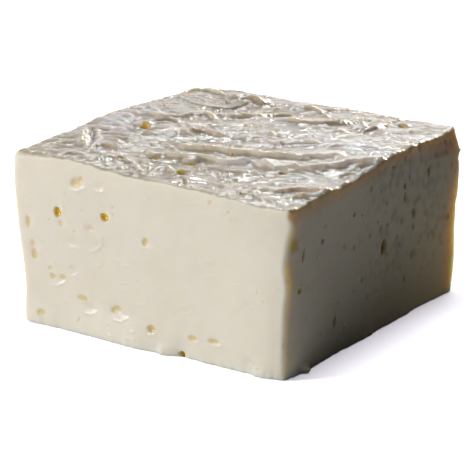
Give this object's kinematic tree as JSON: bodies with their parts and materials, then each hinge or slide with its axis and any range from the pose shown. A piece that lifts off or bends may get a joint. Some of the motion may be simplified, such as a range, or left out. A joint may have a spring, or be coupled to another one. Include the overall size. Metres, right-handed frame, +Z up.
{
  "type": "cream cheese block",
  "caption": "Square-cut block of fresh white cheese with a wet rippled top, softly rounded edges and small scattered eyes.",
  "frame": {"origin": "centre of the block's flat base, on the surface it rests on", "axes": "+Z up; +X and +Y square to the sides, -Y out of the side with round eyes, +X out of the side with slit-shaped eyes"},
  "size_m": [0.0792, 0.0784, 0.0444],
  "materials": {
    "cheese": "satin, moist"
  },
  "bodies": {
    "root": {"cheese_block": "cheese"}
  },
  "joints": []
}
